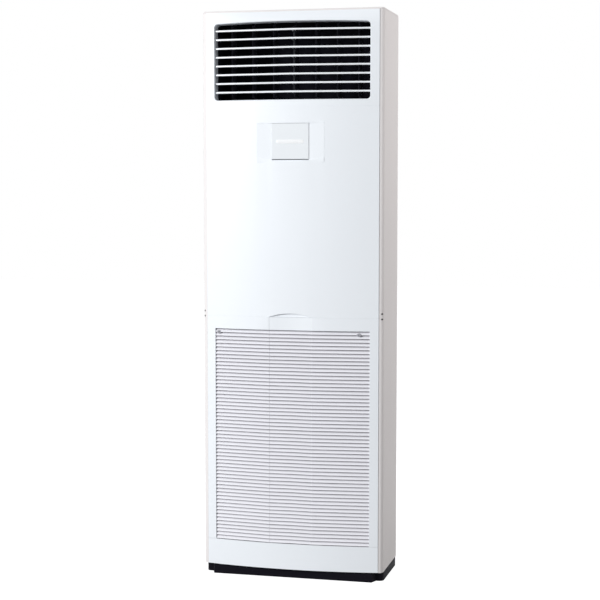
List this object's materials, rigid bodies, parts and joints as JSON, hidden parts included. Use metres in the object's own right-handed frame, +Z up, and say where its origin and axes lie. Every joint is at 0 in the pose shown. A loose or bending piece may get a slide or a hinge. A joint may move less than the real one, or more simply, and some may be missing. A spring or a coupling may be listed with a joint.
{
  "type": "floor standing air conditioner",
  "caption": "Tall white cabinet air conditioner with a bowed front: bladed outlet above, control cover in the middle, slotted intake grille below, black base.",
  "frame": {"origin": "on the floor, under the middle of the cabinet's bounding box", "axes": "+Z up, the front faces -Y, +X to the viewer's right when facing the front"},
  "size_m": [0.6, 0.27, 1.84],
  "materials": {
    "white_plastic": "satin moulded plastic",
    "white_steel": "satin powder coat",
    "black_steel": "satin powder coat",
    "black_plastic": "matt moulded plastic",
    "grey_plastic": "matt moulded plastic",
    "zinc_steel": "zinc coated sheet",
    "fins": "bare thin fins",
    "copper": "bare copper",
    "foam": "foam lined plastic",
    "display": "smoked clear plastic"
  },
  "bodies": {
    "cabinet": {"base_frame": "black_steel", "kick_strip": "black_plastic", "side_panel_left": "white_steel", "side_panel_right": "white_steel", "back_panel": "white_steel", "pipe_plate": "white_steel", "top_panel": "white_steel", "upper_front_panel": "white_plastic", "outlet_frame": "white_plastic", "outlet_duct": "foam", "swing_motor": "zinc_steel", "controller_body": "white_plastic", "display_window": "display", "hinge_bracket_left": "zinc_steel", "hinge_bracket_right": "zinc_steel", "filter_rail_left": "grey_plastic", "filter_rail_right": "grey_plastic", "deck": "zinc_steel", "fan_scroll": "zinc_steel", "inlet_ring": "black_plastic", "fan_motor": "zinc_steel", "motor_bracket": "zinc_steel", "evaporator_coil": "fins", "coil_bracket_left": "zinc_steel", "coil_bracket_right": "zinc_steel", "drain_pan": "black_plastic", "drain_socket": "black_plastic", "gas_pipe": "copper", "liquid_pipe": "copper", "electrical_box": "zinc_steel", "electrical_cover": "zinc_steel", "terminal_block": "black_plastic", "control_board": "grey_plastic"},
    "grille": {"intake_grille": "white_plastic"},
    "filter": {"air_filter": "grey_plastic"},
    "cover": {"control_cover": "white_plastic"},
    "fan": {"fan_wheel": "black_plastic", "motor_shaft": "zinc_steel"},
    "louvre_link_bar": {"louvre_link": "grey_plastic"},
    "vane_link_bar": {"vane_link": "grey_plastic"},
    "louvre_1": {"louvre_blade_1": "white_plastic"},
    "louvre_2": {"louvre_blade_2": "white_plastic"},
    "louvre_3": {"louvre_blade_3": "white_plastic"},
    "louvre_4": {"louvre_blade_4": "white_plastic"},
    "louvre_5": {"louvre_blade_5": "white_plastic"},
    "louvre_6": {"louvre_blade_6": "white_plastic"},
    "louvre_7": {"louvre_blade_7": "white_plastic"},
    "louvre_8": {"louvre_blade_8": "white_plastic"},
    "vane_1": {"air_vane_1": "black_plastic"},
    "vane_2": {"air_vane_2": "black_plastic"},
    "vane_3": {"air_vane_3": "black_plastic"},
    "vane_4": {"air_vane_4": "black_plastic"},
    "vane_5": {"air_vane_5": "black_plastic"},
    "vane_6": {"air_vane_6": "black_plastic"},
    "vane_7": {"air_vane_7": "black_plastic"},
    "key_power": {"button_power": "grey_plastic"},
    "key_mode": {"button_mode": "grey_plastic"},
    "key_fan": {"button_fan": "grey_plastic"},
    "key_down": {"button_down": "grey_plastic"},
    "key_up": {"button_up": "grey_plastic"}
  },
  "joints": [
    {"name": "grille_hinge", "type": "hinge", "parent": "cabinet", "child": "grille", "pos_m": [0, -0.116, 0.042], "axis": [1, 0, 0], "range_deg": [0, 40]},
    {"name": "filter_lift", "type": "slide", "parent": "cabinet", "child": "filter", "axis": [0, 0, 1], "range_m": [0, 0.02]},
    {"name": "cover_hinge", "type": "hinge", "parent": "cabinet", "child": "cover", "pos_m": [0, -0.1294, 1.3662], "axis": [1, 0, 0], "range_deg": [0, 90]},
    {"name": "fan_spin", "type": "hinge", "parent": "cabinet", "child": "fan", "pos_m": [-0.027, 0, 0.293], "axis": [0, 1, 0], "continuous": true},
    {"name": "louvre_1_tilt", "type": "hinge", "parent": "cabinet", "child": "louvre_1", "pos_m": [0, -0.096, 1.7756], "axis": [1, 0, 0], "range_deg": [-25, 25]},
    {"name": "louvre_2_tilt", "type": "hinge", "parent": "cabinet", "child": "louvre_2", "pos_m": [0, -0.096, 1.7475], "axis": [1, 0, 0], "range_deg": [-25, 25]},
    {"name": "louvre_3_tilt", "type": "hinge", "parent": "cabinet", "child": "louvre_3", "pos_m": [0, -0.096, 1.7194], "axis": [1, 0, 0], "range_deg": [-25, 25]},
    {"name": "louvre_4_tilt", "type": "hinge", "parent": "cabinet", "child": "louvre_4", "pos_m": [0, -0.096, 1.6913], "axis": [1, 0, 0], "range_deg": [-25, 25]},
    {"name": "louvre_5_tilt", "type": "hinge", "parent": "cabinet", "child": "louvre_5", "pos_m": [0, -0.096, 1.6632], "axis": [1, 0, 0], "range_deg": [-25, 25]},
    {"name": "louvre_6_tilt", "type": "hinge", "parent": "cabinet", "child": "louvre_6", "pos_m": [0, -0.096, 1.6351], "axis": [1, 0, 0], "range_deg": [-25, 25]},
    {"name": "louvre_7_tilt", "type": "hinge", "parent": "cabinet", "child": "louvre_7", "pos_m": [0, -0.096, 1.607], "axis": [1, 0, 0], "range_deg": [-25, 25]},
    {"name": "louvre_8_tilt", "type": "hinge", "parent": "cabinet", "child": "louvre_8", "pos_m": [0, -0.096, 1.5789], "axis": [1, 0, 0], "range_deg": [-25, 25]},
    {"name": "louvre_link_swing", "type": "hinge", "parent": "louvre_1", "child": "louvre_link_bar", "pos_m": [0.0024, -0.084, 1.7756], "axis": [1, 0, 0], "range_deg": [-25, 25]},
    {"name": "vane_1_swing", "type": "hinge", "parent": "cabinet", "child": "vane_1", "pos_m": [-0.21, -0.048, 1.6], "axis": [0, 0, 1], "range_deg": [-30, 30]},
    {"name": "vane_2_swing", "type": "hinge", "parent": "cabinet", "child": "vane_2", "pos_m": [-0.14, -0.048, 1.6], "axis": [0, 0, 1], "range_deg": [-30, 30]},
    {"name": "vane_3_swing", "type": "hinge", "parent": "cabinet", "child": "vane_3", "pos_m": [-0.07, -0.048, 1.6], "axis": [0, 0, 1], "range_deg": [-30, 30]},
    {"name": "vane_4_swing", "type": "hinge", "parent": "cabinet", "child": "vane_4", "pos_m": [0, -0.048, 1.6], "axis": [0, 0, 1], "range_deg": [-30, 30]},
    {"name": "vane_5_swing", "type": "hinge", "parent": "cabinet", "child": "vane_5", "pos_m": [0.07, -0.048, 1.6], "axis": [0, 0, 1], "range_deg": [-30, 30]},
    {"name": "vane_6_swing", "type": "hinge", "parent": "cabinet", "child": "vane_6", "pos_m": [0.14, -0.048, 1.6], "axis": [0, 0, 1], "range_deg": [-30, 30]},
    {"name": "vane_7_swing", "type": "hinge", "parent": "cabinet", "child": "vane_7", "pos_m": [0.21, -0.048, 1.6], "axis": [0, 0, 1], "range_deg": [-30, 30]},
    {"name": "vane_link_swing", "type": "hinge", "parent": "vane_7", "child": "vane_link_bar", "pos_m": [0.21, -0.03, 1.5543], "axis": [0, 0, 1], "range_deg": [-30, 30]},
    {"name": "key_power_press", "type": "slide", "parent": "cabinet", "child": "key_power", "axis": [0, 1, 0], "range_m": [0, 0.0012], "stiffness_N_per_m": 300},
    {"name": "key_mode_press", "type": "slide", "parent": "cabinet", "child": "key_mode", "axis": [0, 1, 0], "range_m": [0, 0.0012], "stiffness_N_per_m": 300},
    {"name": "key_fan_press", "type": "slide", "parent": "cabinet", "child": "key_fan", "axis": [0, 1, 0], "range_m": [0, 0.0012], "stiffness_N_per_m": 300},
    {"name": "key_down_press", "type": "slide", "parent": "cabinet", "child": "key_down", "axis": [0, 1, 0], "range_m": [0, 0.0012], "stiffness_N_per_m": 300},
    {"name": "key_up_press", "type": "slide", "parent": "cabinet", "child": "key_up", "axis": [0, 1, 0], "range_m": [0, 0.0012], "stiffness_N_per_m": 300}
  ],
  "couplings": [
    {"joint": "louvre_2_tilt", "follows": "louvre_1_tilt", "ratio": 1},
    {"joint": "louvre_3_tilt", "follows": "louvre_1_tilt", "ratio": 1},
    {"joint": "louvre_4_tilt", "follows": "louvre_1_tilt", "ratio": 1},
    {"joint": "louvre_5_tilt", "follows": "louvre_1_tilt", "ratio": 1},
    {"joint": "louvre_6_tilt", "follows": "louvre_1_tilt", "ratio": 1},
    {"joint": "louvre_7_tilt", "follows": "louvre_1_tilt", "ratio": 1},
    {"joint": "louvre_8_tilt", "follows": "louvre_1_tilt", "ratio": 1},
    {"joint": "louvre_link_swing", "follows": "louvre_1_tilt", "ratio": -1},
    {"joint": "vane_1_swing", "follows": "vane_7_swing", "ratio": 1},
    {"joint": "vane_2_swing", "follows": "vane_7_swing", "ratio": 1},
    {"joint": "vane_3_swing", "follows": "vane_7_swing", "ratio": 1},
    {"joint": "vane_4_swing", "follows": "vane_7_swing", "ratio": 1},
    {"joint": "vane_5_swing", "follows": "vane_7_swing", "ratio": 1},
    {"joint": "vane_6_swing", "follows": "vane_7_swing", "ratio": 1},
    {"joint": "vane_link_swing", "follows": "vane_7_swing", "ratio": -1}
  ]
}
